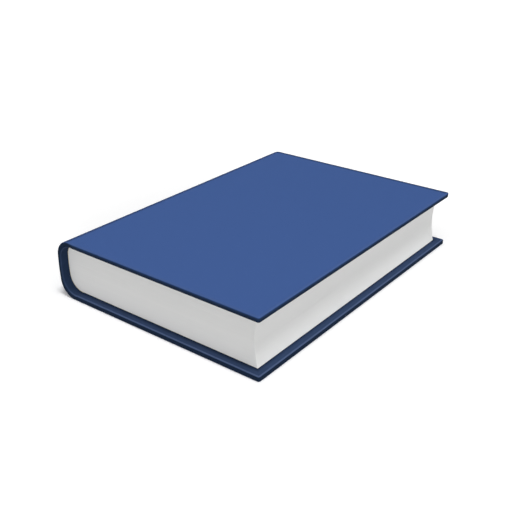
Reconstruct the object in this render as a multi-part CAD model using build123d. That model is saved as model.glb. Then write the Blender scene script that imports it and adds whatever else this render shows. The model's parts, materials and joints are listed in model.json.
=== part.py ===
from build123d import *

import os
from math import hypot, sqrt

# A case-bound book lying closed on its back cover, in millimetres.
# +X runs from the spine to the fore-edge, +Y from the tail to the head, +Z up.
# The origin is on the surface that the book lies on, under the middle of the closed case.
# A block of leaves with a rounded back and a hollow fore-edge sits in a cloth case: two
# boards, a shaped spine strip and one cloth that turns in over their edges. The cloth is
# parted at the two joints, where the covers swing.

# Driving dimensions of the leaves
leaf_height = 210.0
block_width = 153.6
block_thickness = 33.1
block_corner_radius = 10.2
block_back_radius = 96.0
fore_edge_hollow = 2.2

# Driving dimensions of the papers and the spine's layers
endpaper_thickness = 0.14
lining_thickness = 0.4
inlay_thickness = 1.9
cloth_thickness = 0.25
shoulder_build = 1.4

# Driving dimensions of the covers
board_thickness = 3.0
turn_in_width = 15.0
end_square = 6.4
fore_square = 5.9
cover_corner_radius = 1.5
cover_edge_radius = 0.8
leaf_gap = 0.05

# Driving dimensions of the joints
joint_flat = 0.8
joint_gap = 0.1
crease_depth = 0.2
fold_clearance = 0.05

# Every cut runs past the solid by this much
overrun = 1.0

# A flat that touches a rounded edge in its middle takes this share of its radius
edge_flat_share = 2 - sqrt(2)

# Sizes that follow from them
wrapped_thickness = board_thickness + 2 * cloth_thickness
cover_thickness = wrapped_thickness + endpaper_thickness
spine_wall = cloth_thickness + inlay_thickness + cloth_thickness + lining_thickness
case_height = leaf_height + 2 * end_square
case_width = spine_wall + block_width + fore_square
case_thickness = block_thickness + 2 * (leaf_gap + cover_thickness)
case_corner_radius = block_corner_radius + shoulder_build
case_back_radius = block_back_radius + spine_wall

# Places that follow from them
mid_z = case_thickness / 2
case_half = case_thickness / 2
block_half = block_thickness / 2
case_back_x = -case_width / 2
case_fore_x = case_width / 2
block_back_x = case_back_x + spine_wall
block_fore_x = block_back_x + block_width
inner_face_z = case_thickness - wrapped_thickness
board_low_z = inner_face_z + cloth_thickness


def corner_centre_x(back_x, half, corner_radius, back_radius):
    """X where a rounded back's corner arcs run into its flat sides."""
    reach = back_radius - corner_radius
    return back_x + back_radius - sqrt(reach**2 - (half - corner_radius) ** 2)


case_flat_x = corner_centre_x(case_back_x, case_half, case_corner_radius, case_back_radius)
block_flat_x = corner_centre_x(block_back_x, block_half, block_corner_radius, block_back_radius)
joint_x = max(case_flat_x, block_flat_x) + joint_flat
joint_z = case_thickness + fold_clearance
spine_end_x = joint_x - joint_gap
cover_start_x = joint_x + joint_gap


def back_corner(centre_x, corner_radius, lean, side):
    """Three points of one corner arc, from the flat side round to the back."""
    lean_x, lean_z, drop = lean
    bisector = hypot(lean_x, lean_z + 1)
    flat_end = (centre_x, mid_z + side * (drop + corner_radius))
    middle = (
        centre_x + corner_radius * lean_x / bisector,
        mid_z + side * (drop + corner_radius * (lean_z + 1) / bisector),
    )
    back_end = (
        centre_x + corner_radius * lean_x,
        mid_z + side * (drop + corner_radius * lean_z),
    )
    return flat_end, middle, back_end


def backed_face(back_x, half, corner_radius, back_radius, end_x, hollow=0):
    """Section with a rounded back, flat sides and an end that may be hollowed by an arc."""
    centre_x = corner_centre_x(back_x, half, corner_radius, back_radius)
    reach = back_radius - corner_radius
    drop = half - corner_radius
    lean = ((centre_x - back_x - back_radius) / reach, drop / reach, drop)
    upper = back_corner(centre_x, corner_radius, lean, 1)
    lower = back_corner(centre_x, corner_radius, lean, -1)
    top_end = (end_x, mid_z + half)
    bottom_end = (end_x, mid_z - half)
    if hollow:
        end_edge = ThreePointArc(bottom_end, (end_x - hollow, mid_z), top_end)
    else:
        end_edge = Line(bottom_end, top_end)
    edges = [
        Line(top_end, upper[0]),
        ThreePointArc(*upper),
        ThreePointArc(upper[-1], (back_x, mid_z), lower[-1]),
        ThreePointArc(*reversed(lower)),
        Line(lower[0], bottom_end),
        end_edge,
    ]
    return Plane.XZ * make_face(edges)


def case_section(inset):
    """Section inside the case's outer back, taken in by inset, as far as the joint."""
    return backed_face(
        case_back_x + inset,
        case_half - inset,
        case_corner_radius - inset,
        case_back_radius - inset,
        spine_end_x,
    )


def block_section(outset, end_x, hollow=0):
    """Section inside the block's back, grown by outset."""
    return backed_face(
        block_back_x - outset,
        block_half + outset,
        block_corner_radius + outset,
        block_back_radius + outset,
        end_x,
        hollow,
    )


def along_spine(section, length):
    """The section drawn out evenly towards tail and head."""
    return extrude(section, amount=length / 2, both=True)


def softened(rims, inset):
    """Rounded edges on the cloth, or flats to match on what it wraps, taken in by inset."""
    radius = cover_edge_radius - inset
    if inset:
        return chamfer(rims, radius * edge_flat_share)
    return fillet(rims, radius)


def case_back(inset):
    """The whole back of the case, taken in by inset, with softened tail and head edges."""
    length = case_height - 2 * inset
    solid = along_spine(case_section(inset), length)
    tail = solid.edges().group_by(Axis.Y)[0]
    head = solid.edges().group_by(Axis.Y)[-1]
    rims = (tail + head).filter_by(Axis.Z, reverse=True)
    return softened(rims, inset)


def upright_box(low_x, high_x, depth_y, low_z, high_z):
    """Box from its X and Z limits, centred in Y."""
    centre = Pos((low_x + high_x) / 2, 0, (low_z + high_z) / 2)
    return centre * Box(high_x - low_x, depth_y, high_z - low_z)


def front_crease():
    """The half-round crease along the front joint's axis."""
    rod = Cylinder(crease_depth + fold_clearance, case_height + 2 * overrun)
    return Pos(joint_x, 0, joint_z) * Rot(90, 0, 0) * rod


def to_back(shape):
    """The same piece on the back cover."""
    return mirror(shape, about=Plane.XY.offset(mid_z))


def make_text_block():
    """The leaves and flyleaves, with a rounded back and a hollow fore-edge."""
    return along_spine(block_section(0, block_fore_x, fore_edge_hollow), leaf_height)


def make_spine_lining():
    """Mull and paper glued round the back of the leaves."""
    outer = along_spine(block_section(lining_thickness, spine_end_x), leaf_height)
    return outer - along_spine(block_section(0, joint_x), leaf_height + 2 * overrun)


def make_spine_inlay():
    """The card that shapes the spine, thick at the shoulders and thin at the back."""
    room = block_section(lining_thickness + cloth_thickness, joint_x)
    return case_back(cloth_thickness) - along_spine(room, case_height + 2 * overrun)


def make_spine_cloth():
    """The cloth round the spine, turned in at tail and head between card and lining."""
    room = block_section(lining_thickness, joint_x)
    hollow = block_section(lining_thickness + cloth_thickness, joint_x)
    cloth = case_back(0) - along_spine(room, case_height + 2 * overrun)
    cloth -= along_spine(hollow, case_height - 2 * turn_in_width)
    return cloth - make_spine_inlay() - front_crease() - to_back(front_crease())


def cover_slab(inset):
    """The front cover with soft corners and edges, taken in by inset on three sides."""
    height = case_height - 2 * inset
    low_z = inner_face_z + inset
    slab = upright_box(cover_start_x, case_fore_x - inset, height, low_z, case_thickness - inset)
    corners = slab.edges().filter_by(Axis.Z).group_by(Axis.X)[-1]
    slab = fillet(corners, cover_corner_radius - inset)
    rims = []
    for face in slab.faces().filter_by(Axis.Z):
        rims += face.edges().sort_by(Axis.X)[1:]
    return softened(rims, inset)


def turn_in_window(low_z, high_z, inset):
    """The room between the three turned-in edges, taken in by inset, open to the joint."""
    height = case_height - 2 * (turn_in_width + inset)
    return upright_box(joint_x, case_fore_x - turn_in_width - inset, height, low_z, high_z)


def make_front_board():
    """The greyboard of the front cover."""
    return cover_slab(cloth_thickness)


def make_front_cloth():
    """The cloth over the front board, turned in on three sides."""
    window = turn_in_window(inner_face_z - overrun, board_low_z, 0)
    return cover_slab(0) - cover_slab(cloth_thickness) - window - front_crease()


def make_front_pastedown():
    """The pasted half of the endpaper, sunk between the turned-in edges."""
    low_z = inner_face_z - endpaper_thickness
    sheet = upright_box(cover_start_x, block_fore_x, leaf_height, low_z, inner_face_z)
    panel = turn_in_window(low_z, board_low_z, 0)
    panel &= upright_box(cover_start_x, block_fore_x, leaf_height, low_z, board_low_z)
    sunk_z = board_low_z - endpaper_thickness
    return sheet + panel - turn_in_window(low_z - overrun, sunk_z, endpaper_thickness)


pieces = {
    "text_block": make_text_block(),
    "spine_lining": make_spine_lining(),
    "spine_inlay": make_spine_inlay(),
    "spine_cloth": make_spine_cloth(),
}
cover_pieces = {
    "board": make_front_board(),
    "cloth": make_front_cloth(),
    "pastedown": make_front_pastedown(),
}
for name, shape in cover_pieces.items():
    pieces[f"front_{name}"] = shape
    pieces[f"back_{name}"] = to_back(shape)

os.makedirs("parts", exist_ok=True)
for name, shape in pieces.items():
    export_step(shape, f"parts/{name}.step")

print(f"case {case_width:.3f} x {case_height:.3f} x {case_thickness:.3f}")
print(f"joint axes at x {joint_x:.4f}, z {joint_z:.4f} and {-fold_clearance:.4f}")
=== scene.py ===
import json
import math
import random

import bmesh
import bpy
from mathutils import Euler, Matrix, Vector


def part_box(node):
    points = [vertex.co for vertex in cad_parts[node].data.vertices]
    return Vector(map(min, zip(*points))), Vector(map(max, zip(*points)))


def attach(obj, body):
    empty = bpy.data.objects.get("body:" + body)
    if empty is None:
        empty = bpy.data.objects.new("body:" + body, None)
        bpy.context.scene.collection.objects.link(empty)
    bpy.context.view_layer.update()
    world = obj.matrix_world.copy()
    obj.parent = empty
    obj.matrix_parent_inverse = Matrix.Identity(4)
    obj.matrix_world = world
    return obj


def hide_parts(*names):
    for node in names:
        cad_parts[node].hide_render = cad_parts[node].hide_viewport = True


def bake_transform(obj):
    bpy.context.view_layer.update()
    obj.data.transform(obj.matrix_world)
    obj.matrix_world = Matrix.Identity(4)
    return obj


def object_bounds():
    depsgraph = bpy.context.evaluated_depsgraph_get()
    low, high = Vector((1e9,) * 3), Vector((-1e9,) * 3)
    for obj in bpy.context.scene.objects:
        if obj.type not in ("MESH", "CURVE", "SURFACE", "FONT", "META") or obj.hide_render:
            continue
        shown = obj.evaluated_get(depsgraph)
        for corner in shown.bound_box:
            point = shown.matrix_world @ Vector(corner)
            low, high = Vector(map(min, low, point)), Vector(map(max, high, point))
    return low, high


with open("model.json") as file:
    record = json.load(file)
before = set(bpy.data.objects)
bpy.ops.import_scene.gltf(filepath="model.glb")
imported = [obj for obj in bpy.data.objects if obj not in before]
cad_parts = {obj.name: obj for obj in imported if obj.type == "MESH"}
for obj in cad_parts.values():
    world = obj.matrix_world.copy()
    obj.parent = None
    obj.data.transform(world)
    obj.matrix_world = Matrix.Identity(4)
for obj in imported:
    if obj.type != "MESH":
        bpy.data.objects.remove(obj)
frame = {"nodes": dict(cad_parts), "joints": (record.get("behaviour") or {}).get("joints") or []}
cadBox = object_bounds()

mm = 0.001

# what the frame says about the closed case
caseLow, caseHigh = cadBox
caseTop = caseHigh.z
midZ = caseTop / 2
foreX = caseHigh.x
halfHeight = caseHigh.y
blockLow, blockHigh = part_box("text_block")
clothLow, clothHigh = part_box("front_cloth")
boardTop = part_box("front_board")[1].z
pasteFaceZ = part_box("front_pastedown")[0].z
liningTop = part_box("spine_lining")[1].z
clothThick = clothHigh.z - boardTop
liningThick = liningTop - blockHigh.z
coverInnerZ = clothLow.z
coverWall = caseTop - coverInnerZ
hinges = {joint["name"]: joint for joint in frame["joints"]}
jointX = hinges["front_cover_hinge"]["pos_m"][0]
print("frame: case top", round(caseTop, 5), "joint x", round(jointX, 5))


def smooth(low, high, value):
    # 0 up to low, 1 from high on, an easy curve between
    t = min(max((value - low) / (high - low), 0.0), 1.0)
    return t * t * (3 - 2 * t)


def spread(low, high, steps):
    # evenly spaced values, both ends among them
    return [low + (high - low) * k / steps for k in range(steps + 1)]


def onSide(front, x, y, z):
    # a place on the front cover, or the same place turned over to the back
    return (x, y, z if front else caseTop - z)


def joinRows(bm, rows):
    # faces between neighbouring rows of points
    for first, second in zip(rows, rows[1:]):
        for corners in zip(first, first[1:], second[1:], second):
            bm.faces.new(corners)


def newObject(name, data):
    thing = bpy.data.objects.new(name, data)
    bpy.context.scene.collection.objects.link(thing)
    return thing


def meshObject(name, bm, material):
    mesh = bpy.data.meshes.new(name)
    bm.to_mesh(mesh)
    bm.free()
    mesh.materials.append(material)
    return newObject(name, mesh)


def addPiece(name, bm, material):
    piece = meshObject(name, bm, material)
    return piece


# shared node helpers

def newMaterial(name):
    material = bpy.data.materials.new(name)
    material.use_nodes = True
    tree = material.node_tree
    return material, tree, tree.nodes["Principled BSDF"]


def addNode(tree, kind, **values):
    node = tree.nodes.new(kind)
    for key, value in values.items():
        setattr(node, key, value)
    return node


def setInputs(node, values):
    for socket, value in values.items():
        node.inputs[socket].default_value = value


def attributeNode(tree, name):
    return addNode(tree, "ShaderNodeAttribute", attribute_name=name)


def objectPlace(tree):
    return addNode(tree, "ShaderNodeTexCoord").outputs["Object"]


def mathNode(tree, operation, first, second=None):
    node = addNode(tree, "ShaderNodeMath", operation=operation)
    for index, value in enumerate((first, second)):
        if value is None:
            continue
        if isinstance(value, (int, float)):
            node.inputs[index].default_value = value
        else:
            tree.links.new(value, node.inputs[index])
    return node.outputs[0]


def plus(tree, first, second):
    return mathNode(tree, "ADD", first, second)


def times(tree, first, second):
    return mathNode(tree, "MULTIPLY", first, second)


def ridges(tree, value):
    # rounded threads side by side, each half a wave wide
    return mathNode(tree, "ABSOLUTE", mathNode(tree, "SINE", value))


def mixColours(tree, factor, first, second):
    node = addNode(tree, "ShaderNodeMix", data_type="RGBA")
    sockets = (node.inputs["Factor"], node.inputs[6], node.inputs[7])  # 6 and 7 take colours
    for socket, value in zip(sockets, (factor, first, second)):
        if isinstance(value, bpy.types.NodeSocket):
            tree.links.new(value, socket)
        else:
            socket.default_value = (*value, 1.0)
    return node.outputs[2]  # the mixed colour


def stretched(tree, vector, factors):
    node = addNode(tree, "ShaderNodeVectorMath", operation="MULTIPLY")
    tree.links.new(vector, node.inputs[0])
    node.inputs[1].default_value = factors
    return node.outputs[0]


def noiseNode(tree, place, noise):
    # noise is (lumps per metre along each axis, detail, roughness)
    perMetre, detail, rough = noise
    node = addNode(tree, "ShaderNodeTexNoise")
    setInputs(node, {"Scale": 1.0, "Detail": detail, "Roughness": rough})
    tree.links.new(stretched(tree, place, perMetre), node.inputs["Vector"])
    return node.outputs["Fac"]


def finishSurface(tree, shader, values, colour, height):
    # a material's colour, gloss and relief
    tree.links.new(colour, shader.inputs["Base Color"])
    setInputs(shader, {"Roughness": values["roughness"], "Specular IOR Level": values["specular"]})
    bump = addNode(tree, "ShaderNodeBump")
    setInputs(bump, {"Strength": values["bumpStrength"], "Distance": values["bumpDepth"]})
    tree.links.new(height, bump.inputs["Height"])
    tree.links.new(bump.outputs["Normal"], shader.inputs["Normal"])


# book cloth: a fine plain weave, dyed blue, with painted shade on its edges and turn-ins and a painted
# highlight on its folds

bookCloth = {
    "dye": (0.059, 0.122, 0.341),
    "gap": (0.041, 0.089, 0.252),
    "bloom": (0.060, 0.117, 0.312),          # faint clouds on the faces
    "turned": (0.0295, 0.0525, 0.117),       # painted shade on the turned-in borders, darker and greyer
    "handled": (0.007, 0.016, 0.037),        # painted shade on the edges, and painted shadow in the line beside the paper
    "rubbed": (0.089, 0.127, 0.241),         # painted highlight on the fold of an edge
    "threadPitch": 0.42 * mm,
    "wander": ((900, 900, 900), 2.0, 0.5),   # noise, in the form that noiseNode takes
    "wanderShare": 0.35,                     # how far a thread strays, in threads
    "cloud": ((22, 22, 22), 4.0, 0.55),
    "cloudShare": 0.16,
    "smudge": ((160, 160, 160), 5.0, 0.6),
    "smudgeShare": 0.28,                     # how uneven the painted shade and highlight are
    "smudgeLeast": 0.86,
    "roughness": 0.8,
    "specular": 0.06,
    "bumpStrength": 0.35,
    "bumpDepth": 0.05 * mm,
}


def makeBookCloth():
    material, tree, shader = newMaterial("blueBookCloth")
    place = attributeNode(tree, "clothPlace").outputs["Vector"]
    perThread = 1 / bookCloth["threadPitch"]
    threads = addNode(tree, "ShaderNodeSeparateXYZ")
    tree.links.new(stretched(tree, place, (perThread,) * 3), threads.inputs[0])
    wander = times(tree, noiseNode(tree, place, bookCloth["wander"]), bookCloth["wanderShare"])
    across = plus(tree, threads.outputs[0], wander)
    along = plus(tree, threads.outputs[1], wander)
    warp = ridges(tree, times(tree, across, math.pi))
    weft = ridges(tree, times(tree, along, math.pi))
    cell = plus(tree, mathNode(tree, "FLOOR", across), mathNode(tree, "FLOOR", along))
    over = mathNode(tree, "PINGPONG", cell, 1.0)  # 1 where the warp lies on top
    under = mathNode(tree, "SUBTRACT", 1.0, over)
    weave = plus(tree, times(tree, warp, over), times(tree, weft, under))
    dyed = mixColours(tree, weave, bookCloth["gap"], bookCloth["dye"])
    cloud = times(tree, noiseNode(tree, place, bookCloth["cloud"]), bookCloth["cloudShare"])
    colour = mixColours(tree, cloud, dyed, bookCloth["bloom"])
    smudge = times(tree, noiseNode(tree, place, bookCloth["smudge"]), bookCloth["smudgeShare"])
    uneven = plus(tree, bookCloth["smudgeLeast"], smudge)
    # painted shade on the turn-ins, painted shade on the edges with painted shadow beside the paper, and
    # a painted highlight on the folds, laid over the cloth's own colour
    for layer in ("turned", "handled", "rubbed"):
        amount = times(tree, attributeNode(tree, layer).outputs["Fac"], uneven)
        colour = mixColours(tree, amount, colour, bookCloth[layer])
    finishSurface(tree, shader, bookCloth, colour, weave)
    return material


# the cloth case: outer face, soft edges and turned-in borders, in three pieces

case = {
    "cornerRadius": 11.6 * mm,           # outer shoulders of the spine
    "backRadius": 98.8 * mm,             # shallow round of the spine's back
    "blockCornerRadius": 10.2 * mm,
    "blockBackRadius": 96.0 * mm,
    "edgeRadius": 0.8 * mm,
    "planRadius": 1.5 * mm,              # corners of the boards seen from above
    "turnIn": 15.0 * mm,
    "seamAngle": 0.34,                   # how far round the shoulder a cover's cloth reaches
    "foldReach": 0.05 * mm,              # cloth on each side of the hinge line
    "grooveHalf": 0.08 * mm,             # half the gap at the joint that the turn-in dips into
    "grooveLip": 0.01 * mm,              # how much the sides of that gap lean
    "grooveDepth": 0.52 * mm,            # two layers of cloth, pasted together
    "stepReach": (-0.4 * mm, 2.0 * mm),  # from the joint: the inside drops to the cover's level
    "softReach": 4.5 * mm,               # cover beside the joint with closer stations
    "weaveShift": 3,                     # the back's weave starts this many half heights on
    "weldReach": 0.0005 * mm,
    "leastEdge": 0.0002 * mm,
    "edgeSteps": 6,                      # points round each soft edge
    "borderSteps": 6,                    # across a turned-in border
    "widthSteps": 24,                    # from tail to head
    "shoulderSteps": 14,                 # round a shoulder
    "flatSteps": 8,                      # from the shoulder to the joint
    "dipSteps": 12,                      # across the gap
    "softSteps": 10,                     # beside the joint
    "coverSteps": 12,                    # over the rest of a cover
}

# painted shade and highlight on that cloth

paintedLight = {
    "border": 1.0 * mm,                  # border of the outer face that begins to darken
    "borderShade": 0.08,
    "edgeRamp": 0.5 * mm,                # how far down an edge the darkening takes
    "topRamp": 1.1 * mm,                 # the same on the front cover, which lies uppermost
    "topReach": (-3 * mm, 6 * mm),       # from the shoulder: the one runs into the other
    "outerFoldShares": (0.1, 0.5),       # depth of the outer fold, in edge radii
    "innerFoldShares": (0.6, 0.05),      # height of the inner fold, in edge radii
    "rubWidth": 0.6 * mm,                # painted highlight line just inside the edge of a turn-in
    "rubSteps": 3,
    "innerRub": 0.6,
    "outerRub": 0.25,
    "outerRubShare": 1.5,                # how far in the outer fold has painted highlight, in edge radii
    "paperInset": 6.2 * mm,              # where the endpaper covers the turn-in
    # the painted shadow beside the paper: how far out it reaches and how dark it is
    "paperReach": 3.2 * mm,
    "paperShade": 0.9,
    "spineShade": 0.5,                   # painted shade on the shoulders of the spine, where they turn from the light
    "spineReach": (-2.0 * mm, 0.2 * mm),  # from the shoulder: that shade fades out
    "backFade": 0.75,                    # how much less of it there is on the back of the spine
    "backAngles": (0.6, 1.2),            # how far round the shoulder it fades
    "endShade": 0.72,                    # painted shade on the tail and head ends of the spine
    "endReach": (-9 * mm, 4 * mm),       # from the shoulder: that shade fades out
    "endRubLoss": 0.8,                   # how much less painted highlight those ends have
    "headBorder": 4.5 * mm,              # painted shade along the head edge
    "headShade": 0.95,
}


def shoulderX(backX, half, cornerRadius, backRadius):
    # where a rounded back's shoulders run into its flat sides
    reach = backRadius - cornerRadius
    drop = half - cornerRadius
    return backX + backRadius - math.sqrt(reach**2 - drop**2)


edgeLead = case["edgeRadius"] + paintedLight["border"]  # the plain face ends this far from an edge
innerCornerRadius = case["blockCornerRadius"] + liningThick
innerBackRadius = case["blockBackRadius"] + liningThick
outerBack = (caseLow.x, caseTop - midZ, case["cornerRadius"], case["backRadius"])
innerBack = (blockLow.x - liningThick, liningTop - midZ, innerCornerRadius, innerBackRadius)
flatX = shoulderX(*outerBack)
innerFlatX = shoulderX(*innerBack)


def backStations(back, startAngle, steps):
    # points from the upper shoulder round the back to the lower shoulder
    backX, half, cornerRadius, backRadius = back
    drop = half - cornerRadius
    centreX = shoulderX(*back)
    rise = math.asin(drop / (backRadius - cornerRadius))
    turn = math.pi / 2 - rise
    points = []
    for angle in spread(startAngle, turn, steps):
        points.append((centreX - cornerRadius * math.sin(angle), drop + cornerRadius * math.cos(angle)))
    for angle in spread(rise, -rise, steps)[1:-1]:
        points.append((backX + backRadius - backRadius * math.cos(angle), backRadius * math.sin(angle)))
    for angle in spread(turn, startAngle, steps):
        points.append((centreX - cornerRadius * math.sin(angle), -drop - cornerRadius * math.cos(angle)))
    return [(x, midZ + z) for x, z in points]


def crossRows():
    # rows of points from tail to head on the outer face
    limit = halfHeight - edgeLead
    return sorted(spread(-limit, limit, case["widthSteps"]) + [halfHeight - paintedLight["headBorder"]])


def rimPath(wall):
    # (inset, depth, run) from the outer face over the edge to the end of the turn-in
    r = case["edgeRadius"]
    quarter = spread(0, math.pi / 2, case["edgeSteps"])
    path = [(edgeLead, 0.0, r - edgeLead)]
    path += [(r - r * math.sin(a), r - r * math.cos(a), r * a) for a in quarter]
    side = wall - 2 * r
    base = r * math.pi / 2 + side
    path += [(r - r * math.cos(a), wall - r + r * math.sin(a), base + r * a) for a in quarter]
    # rows across the painted highlight line
    rubbed = spread(r, r + paintedLight["rubWidth"], paintedLight["rubSteps"])[1:]
    border = spread(rubbed[-1], paintedLight["paperInset"], case["borderSteps"])[1:]
    for inset in rubbed + border + [case["turnIn"]]:
        path.append((inset, wall, base + r * math.pi / 2 + inset - r))
    return path


def groovePath():
    # (inset, depth) at the joint, where the turn-in lies against the outer cloth
    r = case["edgeRadius"]
    depth = case["grooveDepth"]
    rim = rimPath(coverWall)
    outerCount = case["edgeSteps"] + 2  # the point on the face and those round the outer fold
    path = [(inset, level) for inset, level, _ in rim[:outerCount]]
    inner = r - depth
    for a in spread(math.pi / 2, 0, case["edgeSteps"]):
        path.append((r - inner * math.sin(a), r - inner * math.cos(a)))
    return path + [(inset, depth) for inset, _, _ in rim[len(path):]]


def paintedShadeAt(inset, depth, wall, ramp):
    # painted shade: 0 on the plain faces, 1 on the edges, and painted shadow where a turn-in meets the
    # paper
    r = case["edgeRadius"]
    least = paintedLight["borderShade"]
    outerStart = paintedLight["outerFoldShares"][0] * r
    innerStart, innerEnd = (wall - share * r for share in paintedLight["innerFoldShares"])
    if depth == 0.0:
        return least * (1 - smooth(r, edgeLead, inset))
    if depth < innerStart:
        return least + (1 - least) * smooth(outerStart, ramp, depth)
    folded = 1 - smooth(innerStart, innerEnd, depth)
    paperX = paintedLight["paperInset"]
    return max(folded, paintedLight["paperShade"] * smooth(paperX - paintedLight["paperReach"], paperX, inset))


def paintedHighlightAt(inset, depth, wall):
    # painted highlight: most on the fold between an edge and its turn-in, less on the outer fold
    r = case["edgeRadius"]
    if depth < r:
        outerStart, outerEnd = (share * r for share in paintedLight["outerFoldShares"])
        inward = 1 - smooth(r, paintedLight["outerRubShare"] * r, inset)
        return paintedLight["outerRub"] * inward * (1 - smooth(outerStart, outerEnd, depth))
    innerStart, innerEnd = (wall - share * r for share in paintedLight["innerFoldShares"])
    inward = 1 - smooth(r, r + paintedLight["rubWidth"], inset)
    return paintedLight["innerRub"] * (smooth(innerStart, innerEnd, depth) * inward)


def pastShoulder(reach, x):
    # 0 on the spine, 1 on the cover, changing over this reach from the shoulder
    low, high = reach
    return smooth(flatX + low, flatX + high, x)


def outerShade(x, y):
    # painted shade: the spine is darker from the joint on, and there is a darker border along the head
    # edge
    angle = math.asin(min(max((flatX - x) / case["cornerRadius"], 0.0), 1.0))
    kept = 1 - paintedLight["backFade"] * smooth(*paintedLight["backAngles"], angle)
    spine = paintedLight["spineShade"] * kept * (1 - pastShoulder(paintedLight["spineReach"], x))
    headEdgeShade = paintedLight["headShade"] * smooth(halfHeight - paintedLight["headBorder"], halfHeight, y)
    return max(spine, headEdgeShade)


def rimTones(inset, depth, wall, x, y, front=False):
    # painted shade, painted shade on the turn-ins and painted highlight along the rim, with more painted
    # shade round the ends of the spine
    spineEnd = 1 - pastShoulder(paintedLight["endReach"], x)
    onTop = pastShoulder(paintedLight["topReach"], x) if front else 0.0
    ramp = paintedLight["edgeRamp"] + onTop * (paintedLight["topRamp"] - paintedLight["edgeRamp"])
    around = paintedLight["endShade"] * spineEnd if depth else outerShade(x, y)
    handled = max(paintedShadeAt(inset, depth, wall, ramp), around)
    rubbed = paintedHighlightAt(inset, depth, wall) * (1 - paintedLight["endRubLoss"] * spineEnd)
    return handled, smooth(0.0, wall, depth), rubbed


class ClothSheet:
    def __init__(self):
        self.bm = bmesh.new()
        self.place = self.bm.verts.layers.float_vector.new("clothPlace")
        # how much painted shade, turn-in shade and painted highlight each point takes
        self.handled = self.bm.verts.layers.float.new("handled")
        self.turned = self.bm.verts.layers.float.new("turned")
        self.rubbed = self.bm.verts.layers.float.new("rubbed")

    def point(self, position, u, v, handled, turned=0.0, rubbed=0.0):
        vert = self.bm.verts.new(position)
        vert[self.place] = (u, v, 0.0)
        vert[self.handled] = handled
        vert[self.turned] = turned
        vert[self.rubbed] = rubbed
        return vert

    def finish(self, name, outward, material):
        bm = self.bm
        bmesh.ops.remove_doubles(bm, verts=bm.verts, dist=case["weldReach"])
        bmesh.ops.dissolve_degenerate(bm, edges=bm.edges, dist=case["leastEdge"])
        bmesh.ops.recalc_face_normals(bm, faces=bm.faces)
        bm.faces.ensure_lookup_table()
        largest = max(bm.faces, key=lambda face: face.calc_area())
        if largest.normal.dot(outward) < 0:
            bmesh.ops.reverse_faces(bm, faces=bm.faces)
        for face in bm.faces:
            face.smooth = True
        piece = addPiece(name, bm, material)
        thick = piece.modifiers.new("clothThickness", "SOLIDIFY")
        thick.thickness = clothThick
        thick.offset = -1.0  # the thickness goes inward
        bpy.context.view_layer.update()
        graph = bpy.context.evaluated_depsgraph_get()
        solid = bpy.data.meshes.new_from_object(piece.evaluated_get(graph))
        piece.modifiers.clear()
        piece.data = solid
        solid.name = name
        print("cloth:", name, len(solid.polygons), "faces")
        return piece


def wallBetween(outer, inner, depth):
    # a point between the outer and inner face, by depth below the outer one
    share = depth / math.dist(outer, inner)
    return outer[0] + (inner[0] - outer[0]) * share, outer[1] + (inner[1] - outer[1]) * share


def shoulderPoint(centreX, topZ, radius, angle):
    # a point of the upper shoulder, this far round from the flat side
    return (centreX - radius * math.sin(angle), topZ - radius + radius * math.cos(angle))


def coverStations():
    # (outer point, inner point, run, dips) of the front cover, from the seam to the fore-edge
    stations = []
    for angle in spread(case["seamAngle"], 0, case["shoulderSteps"]):
        outer = shoulderPoint(flatX, caseTop, case["cornerRadius"], angle)
        inner = shoulderPoint(innerFlatX, liningTop, innerCornerRadius, angle)
        stations.append((outer, inner, -case["cornerRadius"] * angle, False))
    half = case["grooveHalf"]
    lip = half + case["grooveLip"]
    lipX = jointX - lip
    softX = jointX + case["softReach"]
    stepStart, stepEnd = (jointX + reach for reach in case["stepReach"])
    xs = spread(flatX, lipX, case["flatSteps"])[1:]
    dip = spread(jointX - half, jointX + half, case["dipSteps"])
    xs += dip + spread(jointX + lip, softX, case["softSteps"])
    xs += spread(softX, foreX - edgeLead, case["coverSteps"])[1:]
    for x in xs:
        slip = (innerFlatX - flatX) * max(0.0, (lipX - x) / (lipX - flatX))
        innerZ = liningTop + (coverInnerZ - liningTop) * smooth(stepStart, stepEnd, x)
        stations.append(((x, caseTop), (x + slip, innerZ), x - flatX, x in dip))
    return stations


def bendAtJoint(piece, front):
    # bakes the piece's placement into its mesh, for either cover alike
    if front:
        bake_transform(piece)
    else:
        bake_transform(piece)


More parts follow.
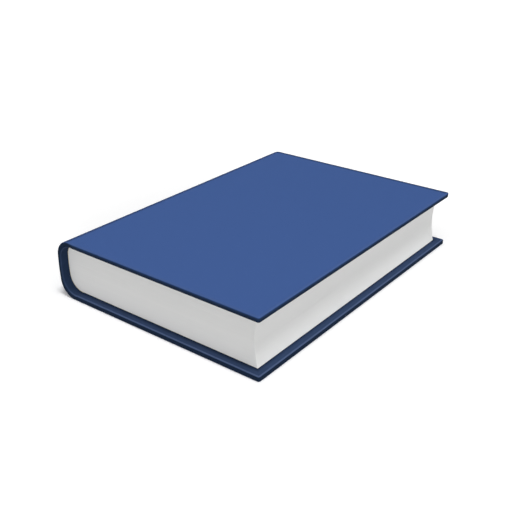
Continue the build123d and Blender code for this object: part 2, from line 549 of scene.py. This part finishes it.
def makeCoverCloth(name, material, front):
    sheet = ClothSheet()
    stations = coverStations()
    groove = groovePath()
    plan = case["planRadius"]
    edgeV = halfHeight - case["edgeRadius"]
    lastU = stations[-1][2]
    weaveStart = 0 if front else case["weaveShift"] * halfHeight

    def put(x, y, z, u, v, *tones):
        return sheet.point(onSide(front, x, y, z), u, v + weaveStart, *tones)

    def sideColumn(station, side):
        outer, inner, u, dips = station
        wall = math.dist(outer, inner)
        rim = rimPath(wall)
        places = groove if dips else [(inset, depth) for inset, depth, _ in rim]
        column = []
        for (inset, depth), (toneInset, toneDepth, run) in zip(places, rim):
            x, z = wallBetween(outer, inner, depth)
            x = min(x, foreX - max(plan, inset))
            y = side * (halfHeight - inset)
            tones = rimTones(toneInset, toneDepth, wall, outer[0], y, front)
            column.append(put(x, y, z, u, side * (edgeV + run), *tones))
        return column

    def cornerColumn(angle, side):
        column = []
        for inset, depth, run in rimPath(coverWall):
            radius = max(plan - inset, 0.0)
            centre = max(plan, inset)
            x = foreX - centre + radius * math.sin(angle)
            y = side * (halfHeight - centre + radius * math.cos(angle))
            u = lastU + run * math.sin(angle)
            v = side * (edgeV + run * math.cos(angle))
            tones = rimTones(inset, depth, coverWall, x, y, front)
            column.append(put(x, y, caseTop - depth, u, v, *tones))
        return column

    def foreColumn(rowY):
        column = []
        for inset, depth, run in rimPath(coverWall):
            limit = halfHeight - max(plan, inset)
            x = foreX - inset
            y = min(max(rowY, -limit), limit)
            u = lastU + plan - case["edgeRadius"] + run
            tones = rimTones(inset, depth, coverWall, x, rowY, front)
            column.append(put(x, y, caseTop - depth, u, rowY, *tones))
        return column

    ys = crossRows()
    cornerAngles = spread(0, math.pi / 2, case["edgeSteps"])
    tail = [sideColumn(station, -1) for station in stations]
    head = [sideColumn(station, 1) for station in stations]
    columns = tail + [cornerColumn(angle, -1) for angle in cornerAngles]
    columns += [foreColumn(y) for y in ys]
    columns += [cornerColumn(angle, 1) for angle in reversed(cornerAngles)] + head[::-1]
    joinRows(sheet.bm, columns)
    rows = []
    for ((x, z), _, u, _), low, high in zip(stations, tail, head):
        middle = [put(x, y, z, u, y, outerShade(x, y)) for y in ys[1:-1]]
        rows.append([low[0]] + middle + [high[0]])
    joinRows(sheet.bm, rows)
    piece = sheet.finish(name, Vector((0, 0, 1 if front else -1)), material)
    bendAtJoint(piece, front)
    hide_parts("front_cloth" if front else "back_cloth")


def makeSpineCloth(material):
    sheet = ClothSheet()
    angle = case["seamAngle"]
    outerRow = backStations(outerBack, angle, case["shoulderSteps"])
    innerRow = backStations(innerBack, angle, case["shoulderSteps"])
    edgeV = halfHeight - case["edgeRadius"]
    ys = crossRows()[1:-1]  # the end columns bring the first and the last

    def endColumn(outer, inner, u, side):
        wall = math.dist(outer, inner)
        column = []
        for inset, depth, run in rimPath(wall):
            x, z = wallBetween(outer, inner, depth)
            y = side * (halfHeight - inset)
            tones = rimTones(inset, depth, wall, outer[0], y)
            column.append(sheet.point((x, y, z), u, side * (edgeV + run), *tones))
        return column

    rows = []
    u = -case["cornerRadius"] * angle
    previous = outerRow[0]
    for outer, inner in zip(outerRow, innerRow):
        u -= math.dist(outer, previous)
        previous = outer
        x, z = outer
        row = endColumn(outer, inner, u, -1)[::-1]
        row += [sheet.point((x, y, z), u, y, outerShade(x, y)) for y in ys]
        rows.append(row + endColumn(outer, inner, u, 1))
    joinRows(sheet.bm, rows)
    piece = sheet.finish("spineClothWrap", Vector((-1, 0, 0)), material)
    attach(piece, "book_block")
    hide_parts("spine_cloth")


clothMaterial = makeBookCloth()
makeCoverCloth("frontClothWrap", clothMaterial, True)
makeCoverCloth("backClothWrap", clothMaterial, False)
makeSpineCloth(clothMaterial)


# trimmed leaves: every leaf is a step of its own in the block

leaves = {
    "leafThick": 0.1 * mm,
    "hollow": 2.2 * mm,                  # how far the fore-edge curves in
    "trimJitter": 0.018 * mm,
    "trimRange": (0, 2),                 # least and most of that jitter that a leaf takes
    "leastShare": 0.05,                  # share of its own jitter that every leaf keeps
    "driftJitter": 0.05 * mm,            # slow wander over many leaves
    "driftStep": 0.3,                    # most of it that one leaf adds
    "driftKept": 0.94,                   # how much of it the next leaf takes over
    "seed": 7,
    "paper": (0.88, 0.88, 0.87),
    "shade": (0.70, 0.705, 0.70),
    "fine": ((40, 40, 7000), 2.0, 0.5),  # lines along the leaves
    "fineShare": 0.35,
    "broad": ((12, 12, 900), 3.0, 0.5),  # bands of several leaves
    "broadShare": 0.3,
    "cloud": ((30, 30, 60), 3.0, 0.5),
    "cloudShare": 0.15,
    "shadeShare": 0.45,
    "roughness": 0.9,
    "specular": 0.2,
    "bumpStrength": 0.25,
    "bumpDepth": 0.03 * mm,
}


def makeLeafEdges():
    material, tree, shader = newMaterial("trimmedLeafEdges")
    place = objectPlace(tree)
    fine = noiseNode(tree, place, leaves["fine"])
    broad = noiseNode(tree, place, leaves["broad"])
    cloud = noiseNode(tree, place, leaves["cloud"])
    lines = plus(tree, times(tree, fine, leaves["fineShare"]), times(tree, broad, leaves["broadShare"]))
    tone = plus(tree, lines, times(tree, cloud, leaves["cloudShare"]))
    softened = times(tree, tone, leaves["shadeShare"])
    colour = mixColours(tree, softened, leaves["paper"], leaves["shade"])
    finishSurface(tree, shader, leaves, colour, fine)
    return material


def makeLeafStack(material):
    rng = random.Random(leaves["seed"])
    count = round((blockHigh.z - blockLow.z) / leaves["leafThick"])
    levels = spread(blockLow.z, blockHigh.z, count)
    half = (blockHigh.z - blockLow.z) / 2
    hollowRadius = (half**2 + leaves["hollow"] ** 2) / (2 * leaves["hollow"])
    cornerRadius = case["blockCornerRadius"]
    backRadius = case["blockBackRadius"]
    drop = half - cornerRadius
    centreX = shoulderX(blockLow.x, half, cornerRadius, backRadius)
    turnZ = backRadius * drop / (backRadius - cornerRadius)

    def backAt(offset):
        if abs(offset) <= turnZ:
            return blockLow.x + backRadius - math.sqrt(backRadius**2 - offset**2)
        lift = min(abs(offset) - drop, cornerRadius)
        return centreX - math.sqrt(cornerRadius**2 - lift**2)

    def foreAt(offset):
        bulge = math.sqrt(hollowRadius**2 - offset**2) - (hollowRadius - leaves["hollow"])
        return blockHigh.x - bulge

    def driftOn(value):
        step = rng.uniform(-leaves["driftStep"], leaves["driftStep"])
        return leaves["driftKept"] * value + step * leaves["driftJitter"]

    def cutBy(slow, own):
        return max(leaves["leastShare"] * own, slow + own)

    drift = [0.0] * 4  # at the back and front of both ends, then at both ends of the fore-edge
    bm = bmesh.new()
    rings = []
    for low, high in zip(levels, levels[1:]):
        drift = [driftOn(value) for value in drift]
        jitter = [rng.uniform(*leaves["trimRange"]) * leaves["trimJitter"] for _ in drift]
        endBack, endFront, foreTail, foreHead = map(cutBy, drift, jitter)
        offset = (low + high) / 2 - midZ
        left = backAt(offset)
        right = foreAt(offset)
        outline = (
            (left, blockLow.y + endBack),
            (right - foreTail, blockLow.y + endFront),
            (right - foreHead, blockHigh.y - endFront),
            (left, blockHigh.y - endBack),
        )
        for level in (low, high):
            rings.append([bm.verts.new((x, y, level)) for x, y in outline])
    joinRows(bm, [ring + ring[:1] for ring in rings])
    bm.faces.new(rings[0][::-1])
    bm.faces.new(rings[-1])
    bmesh.ops.recalc_face_normals(bm, faces=bm.faces)
    piece = addPiece("leafStack", bm, material)
    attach(piece, "book_block")
    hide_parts("text_block")
    print("leaves:", count, "in the block")


makeLeafStack(makeLeafEdges())


# endpapers: a flyleaf on the block, and a pastedown that lines the joint

endpaper = {
    "flyThick": 0.03 * mm,
    "flySteps": (12, 16),                # across and along a flyleaf
    "pleatThick": 0.04 * mm,
    "foldClear": 0.62 * mm,              # the pleat in the joint stops this far under the outer face
    "wallClear": 0.03 * mm,              # half the gap inside the pleat
    "sink": 0.25 * mm,                   # paper drops this much inside the turned-in cloth
    "sinkReach": 2.0 * mm,
    "sinkRows": (-1, 0, 1, 2, 3),        # extra rows there, in mm inside the turned-in edge
    "wallSteps": 6,                      # up and down the pleat
    "creaseSteps": 10,                   # over its top
    "widthSteps": 40,                    # from the joint to the fore-edge
    "heightSteps": 30,                   # from tail to head
    "paper": (0.83, 0.82, 0.78),
    "fibre": (0.74, 0.73, 0.69),
    "fibreNoise": ((1400, 700, 1400), 4.0, 0.6),
    "cloudNoise": ((35, 35, 35), 3.0, 0.5),
    "fibreShare": 0.35,
    "roughness": 0.85,
    "specular": 0.25,
    "bumpStrength": 0.2,
    "bumpDepth": 0.02 * mm,
}


def makeEndpaper():
    material, tree, shader = newMaterial("plainEndpaper")
    place = objectPlace(tree)
    fibre = noiseNode(tree, place, endpaper["fibreNoise"])
    cloud = noiseNode(tree, place, endpaper["cloudNoise"])
    tone = times(tree, plus(tree, fibre, cloud), endpaper["fibreShare"])
    colour = mixColours(tree, tone, endpaper["paper"], endpaper["fibre"])
    finishSurface(tree, shader, endpaper, colour, fibre)
    return material


def borderOf(grid):
    # the points round a grid, in order and back to the first
    farSide = [row[-1] for row in grid[1:]]
    nearSide = [row[0] for row in grid[-2::-1]]
    return grid[0] + farSide + grid[-1][-2::-1] + nearSide


def closedSheet(shownPlaces, hiddenPlaces, smoothed):
    # two matching grids of places joined into one thin closed sheet
    bm = bmesh.new()
    shown = [[bm.verts.new(place) for place in row] for row in shownPlaces]
    hidden = [[bm.verts.new(place) for place in row] for row in hiddenPlaces]
    joinRows(bm, shown)
    for first, second in zip(hidden, hidden[1:]):
        joinRows(bm, [second, first])
    joinRows(bm, [borderOf(shown), borderOf(hidden)])
    bmesh.ops.recalc_face_normals(bm, faces=bm.faces)
    for face in bm.faces:
        face.smooth = smoothed
    return bm


def makeFlyleaf(name, material, front):
    acrossSteps, alongSteps = endpaper["flySteps"]
    xs = spread(jointX - endpaper["wallClear"], blockHigh.x, acrossSteps)
    ys = spread(blockLow.y, blockHigh.y, alongSteps)
    topZ = blockHigh.z + endpaper["flyThick"]
    upper = [[onSide(front, x, y, topZ) for y in ys] for x in xs]
    lower = [[onSide(front, x, y, blockHigh.z) for y in ys] for x in xs]
    piece = addPiece(name, closedSheet(upper, lower, False), material)
    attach(piece, "book_block")
    print("endpaper:", name)


def pastedPath(windowX):
    # (shown x, shown z, hidden x, hidden z, on the board) from the block up and down the pleat,
    # then over the board to the fore-edge
    clear = endpaper["wallClear"]
    thick = endpaper["pleatThick"]
    steps = endpaper["wallSteps"]
    lowZ = blockHigh.z
    topZ = caseTop - endpaper["foldClear"]
    footZ = pasteFaceZ + thick
    path = []
    wallX = jointX - clear
    for z, hiddenZ in zip(spread(lowZ, topZ, steps), spread(lowZ, topZ + thick, steps)):
        path.append((wallX, z, wallX - thick, hiddenZ, False))
    for x in spread(jointX - clear / 2, jointX + clear / 2, endpaper["creaseSteps"]):
        path.append((x, topZ, x, topZ + thick, False))
    wallX = jointX + clear
    for z, hiddenZ in zip(spread(topZ, footZ, steps), spread(topZ + thick, footZ, steps)):
        path.append((wallX, z, wallX + thick, hiddenZ, False))
    xs = spread(jointX + 2 * clear + thick, blockHigh.x, endpaper["widthSteps"])
    xs += [windowX - row * mm for row in endpaper["sinkRows"]]
    return path + [(x, pasteFaceZ, x, coverInnerZ, True) for x in sorted(xs)]


def makePastedown(name, material, front):
    windowX = foreX - case["turnIn"]
    windowY = halfHeight - case["turnIn"]
    ys = spread(blockLow.y, blockHigh.y, endpaper["heightSteps"])
    for row in endpaper["sinkRows"]:
        ys += [-(windowY - row * mm), windowY - row * mm]
    ys.sort()

    def sinkAt(x, y):
        inX = 1 - smooth(windowX - endpaper["sinkReach"], windowX, x)
        inY = 1 - smooth(windowY - endpaper["sinkReach"], windowY, abs(y))
        return endpaper["sink"] * inX * inY

    shown = []
    hidden = []
    for x, z, hiddenX, hiddenZ, onBoard in pastedPath(windowX):
        sinks = [sinkAt(x, y) if onBoard else 0.0 for y in ys]
        shown.append([onSide(front, x, y, z + sink) for y, sink in zip(ys, sinks)])
        hidden.append([onSide(front, hiddenX, y, hiddenZ + sink) for y, sink in zip(ys, sinks)])
    piece = addPiece(name, closedSheet(shown, hidden, True), material)
    bendAtJoint(piece, front)
    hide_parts("front_pastedown" if front else "back_pastedown")
    print("endpaper:", name)


paperMaterial = makeEndpaper()
for isFront, sideName in ((True, "front"), (False, "back")):
    makeFlyleaf(sideName + "Flyleaf", paperMaterial, isFront)
    makePastedown(sideName + "PastedSheet", paperMaterial, isFront)


# greyboard in the covers and the spine, which the cloth hides

greyboard = {
    "board": (0.33, 0.31, 0.28),
    "fleck": (0.22, 0.21, 0.20),
    "fleckNoise": ((900, 900, 2600), 6.0, 0.7),
    "roughness": 0.95,
    "specular": 0.5,
    "bumpStrength": 0.4,
    "bumpDepth": 0.08 * mm,
}


def makeGreyboard():
    material, tree, shader = newMaterial("pressedGreyboard")
    fleck = noiseNode(tree, objectPlace(tree), greyboard["fleckNoise"])
    colour = mixColours(tree, fleck, greyboard["board"], greyboard["fleck"])
    finishSurface(tree, shader, greyboard, colour, fleck)
    return material


# gauze on the back of the leaves

gauze = {
    "thread": (0.66, 0.60, 0.47),
    "gap": (0.40, 0.36, 0.28),
    "pitch": 1.1 * mm,
    "sharpness": 6.0,                    # more makes thinner threads
    "roughness": 0.9,
    "specular": 0.5,
    "bumpStrength": 0.5,
    "bumpDepth": 0.15 * mm,
}


def makeGauze():
    material, tree, shader = newMaterial("spineGauze")
    halfWave = math.pi / gauze["pitch"]
    apart = addNode(tree, "ShaderNodeSeparateXYZ")
    tree.links.new(stretched(tree, objectPlace(tree), (halfWave,) * 3), apart.inputs[0])
    across = mathNode(tree, "POWER", ridges(tree, apart.outputs[1]), gauze["sharpness"])
    along = mathNode(tree, "POWER", ridges(tree, apart.outputs[2]), gauze["sharpness"])
    net = mathNode(tree, "MAXIMUM", across, along)
    finishSurface(tree, shader, gauze, mixColours(tree, net, gauze["gap"], gauze["thread"]), net)
    return material


def dressNode(node, material):
    mesh = frame["nodes"][node].data
    mesh.materials.clear()
    mesh.materials.append(material)


boardMaterial = makeGreyboard()
for nodeName in ("front_board", "back_board", "spine_inlay"):
    dressNode(nodeName, boardMaterial)
dressNode("spine_lining", makeGauze())
print("hidden pieces dressed")


# white sweep, soft light and the photograph's camera

stage = {
    "floorSize": 8.0,
    "floorTone": 0.93,                   # as the camera sees it
    "floorBounce": 0.42,                 # as the book sees it
    "floorLift": 0.18,                   # added for the camera alone, so the open floor is white
    "farLift": 0.38,                     # the same, away from the near lamp
    "liftReach": (0.10, 0.30),
    "worldLight": 0.24,
    "keyLight": 0.53,                    # light on a level surface
    "keyTurn": (15, 0, 70),              # lean from overhead, towards the fore-edge side
    "keySpread": 16,
    "fillLight": 0.59,                   # light on a surface that faces the lamp
    "fillTurn": (86, 0, 47),
    "fillSpread": 10,
    "nearLight": 0.14,                   # the same, at the near corner of the book
    "nearPlace": (0.14, -0.18, 0.46),
    "nearSize": 0.30,
}
camera = {
    "azimuth": 37.584,
    "elevation": 26.346,
    "roll": -0.059,
    "place": (0.29423, -0.38518, 0.24572),
    "lens": 53.538,
    "sensor": 36.0,
    "shiftPixels": -2.5,
    "framePixels": 525,
    "nearest": 0.01,
}
whiteLight = (1, 1, 1, 1)


def cameraOnly(tree):
    # 1 for what the camera sees, straight or in a reflection
    path = addNode(tree, "ShaderNodeLightPath")
    seen = mathNode(tree, "MAXIMUM", path.outputs["Is Camera Ray"], path.outputs["Is Glossy Ray"])
    return mathNode(tree, "MAXIMUM", seen, path.outputs["Is Transmission Ray"])


def makeSweep():
    material, tree, shader = newMaterial("whiteSweep")
    seen = cameraOnly(tree)
    bounce = (stage["floorBounce"],) * 3
    tone = (stage["floorTone"],) * 3
    tree.links.new(mixColours(tree, seen, bounce, tone), shader.inputs["Base Color"])
    setInputs(shader, {"Roughness": 1.0, "Specular IOR Level": 0.0, "Emission Color": whiteLight})
    away = addNode(tree, "ShaderNodeVectorMath", operation="LENGTH")
    tree.links.new(objectPlace(tree), away.inputs[0])
    grown = addNode(tree, "ShaderNodeMapRange", interpolation_type="SMOOTHSTEP")
    tree.links.new(away.outputs["Value"], grown.inputs["Value"])
    nearEnd, farEnd = stage["liftReach"]
    setInputs(grown, {"From Min": nearEnd, "From Max": farEnd})
    setInputs(grown, {"To Min": stage["floorLift"], "To Max": stage["farLift"]})
    lift = times(tree, seen, grown.outputs["Result"])
    tree.links.new(lift, shader.inputs["Emission Strength"])
    return material


def makeFloor():
    size = stage["floorSize"] / 2
    bm = bmesh.new()
    corners = ((-size, -size), (size, -size), (size, size), (-size, size))
    bm.faces.new([bm.verts.new((x, y, 0)) for x, y in corners])
    floor = meshObject("whiteFloor", bm, makeSweep())


def makeWorld():
    world = bpy.data.worlds.new("whiteRoom")
    world.use_nodes = True
    tree = world.node_tree
    background = tree.nodes["Background"]
    background.inputs["Color"].default_value = whiteLight
    extra = times(tree, cameraOnly(tree), 1.0 - stage["worldLight"])
    tree.links.new(plus(tree, extra, stage["worldLight"]), background.inputs["Strength"])
    bpy.context.scene.world = world


def makeSun(name, light, turn, spreadAngle):
    lamp = bpy.data.lights.new(name, "SUN")
    lamp.energy = light * math.pi  # pi lights a white surface that faces the sun to 1
    lamp.angle = math.radians(spreadAngle)
    sun = newObject(name, lamp)
    sun.rotation_euler = [math.radians(angle) for angle in turn]


def makeNearLight():
    lamp = bpy.data.lights.new("nearLight", "AREA")
    lamp.shape = "DISK"
    lamp.size = stage["nearSize"]
    reach = Vector(stage["nearPlace"]) - Vector((foreX, -halfHeight, midZ))
    lamp.energy = stage["nearLight"] * math.pi**2 * reach.length_squared  # the same at this distance
    near = newObject("nearLight", lamp)
    near.location = stage["nearPlace"]
    near.rotation_euler = reach.to_track_quat("Z", "Y").to_euler()


def makeCamera():
    data = bpy.data.cameras.new("photoCamera")
    data.lens = camera["lens"]
    data.sensor_width = camera["sensor"]
    data.shift_y = camera["shiftPixels"] / camera["framePixels"]
    data.clip_start = camera["nearest"]
    viewer = newObject("photoCamera", data)
    turn = Euler((math.radians(90 - camera["elevation"]), 0, math.radians(camera["azimuth"])))
    roll = Euler((0, 0, math.radians(camera["roll"])))
    viewer.rotation_euler = (turn.to_matrix() @ roll.to_matrix()).to_euler()
    viewer.location = camera["place"]
    bpy.context.scene.camera = viewer


makeFloor()
makeWorld()
levelShare = math.cos(math.radians(stage["keyTurn"][0]))
makeSun("softKey", stage["keyLight"] / levelShare, stage["keyTurn"], stage["keySpread"])
makeSun("frontFill", stage["fillLight"], stage["fillTurn"], stage["fillSpread"])
makeNearLight()
makeCamera()
bpy.context.scene.view_settings.view_transform = "Standard"
print("stage, light and camera set")
